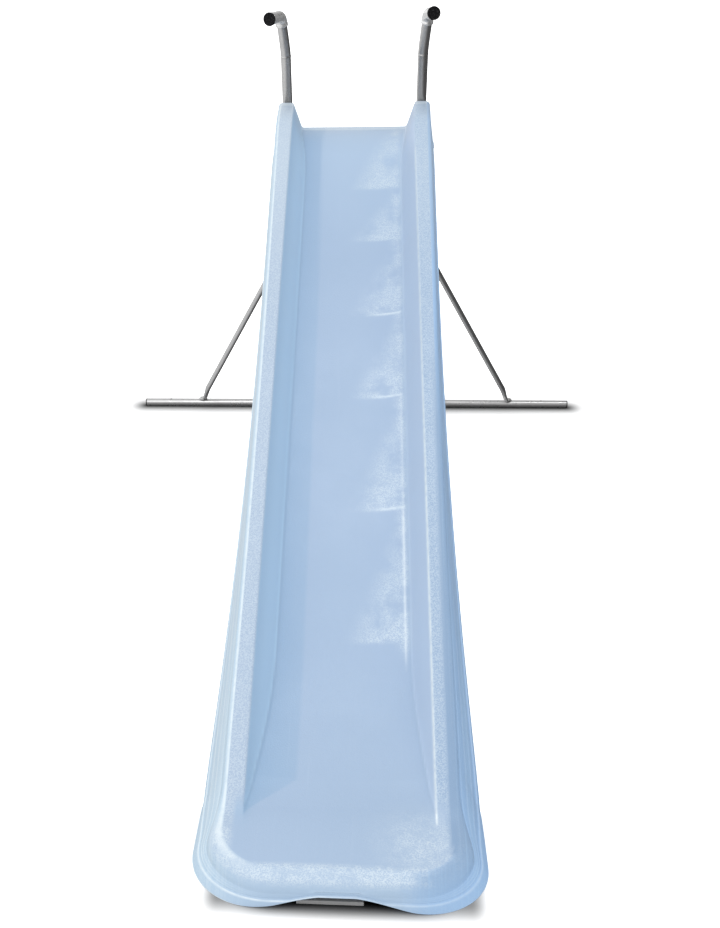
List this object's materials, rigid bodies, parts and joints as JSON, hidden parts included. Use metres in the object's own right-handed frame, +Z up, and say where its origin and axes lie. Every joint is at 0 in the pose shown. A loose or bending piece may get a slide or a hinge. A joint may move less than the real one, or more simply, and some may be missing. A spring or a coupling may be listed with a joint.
{
  "type": "pool slide",
  "caption": "Free-standing straight slide with a moulded pale blue chute on a leaning tube ladder with curved grab rails and a wide ground bar.",
  "frame": {"origin": "on the ground, midway between the two anchor holes of the rear ground bar", "axes": "+X to the right seen from the exit, +Y towards the ladder side, +Z up; the rider travels towards -Y"},
  "size_m": [1.6182, 2.7264, 1.518],
  "materials": {
    "chute_plastic": "satin moulded plastic with a fine stipple",
    "galvanised_tube": "galvanised, slightly dull",
    "elbow_metal": "satin cast fitting",
    "zinc_steel": "zinc plated strip",
    "bright_steel": "bright zinc plated",
    "step_steel": "galvanised pressing",
    "tread_plastic": "ribbed matt black",
    "black_plastic": "matt black moulding"
  },
  "bodies": {
    "root": {"chute": "chute_plastic", "deck_strap": "zinc_steel", "deck_bolts": "bright_steel", "deck_washers": "bright_steel", "deck_nuts": "bright_steel", "ground_bar": "galvanised_tube", "left_bar_plug": "black_plastic", "right_bar_plug": "black_plastic", "left_upright": "galvanised_tube", "right_upright": "galvanised_tube", "left_handrail": "galvanised_tube", "right_handrail": "galvanised_tube", "left_elbow": "elbow_metal", "right_elbow": "elbow_metal", "left_grip_cap": "black_plastic", "right_grip_cap": "black_plastic", "left_brace": "galvanised_tube", "right_brace": "galvanised_tube", "brace_foot_bolts": "bright_steel", "brace_foot_nuts": "bright_steel", "brace_top_bolts": "bright_steel", "brace_top_nuts": "bright_steel", "step_1": "step_steel", "step_2": "step_steel", "step_3": "step_steel", "step_4": "step_steel", "step_pad_1": "tread_plastic", "step_pad_2": "tread_plastic", "step_pad_3": "tread_plastic", "step_pad_4": "tread_plastic", "step_bolts": "bright_steel", "step_nuts": "bright_steel", "nut_caps": "black_plastic", "spigot_bolts": "bright_steel", "spigot_nuts": "bright_steel", "rail_screws": "bright_steel", "foot_bracket": "zinc_steel", "foot_studs": "bright_steel", "foot_nuts": "bright_steel"}
  },
  "joints": []
}
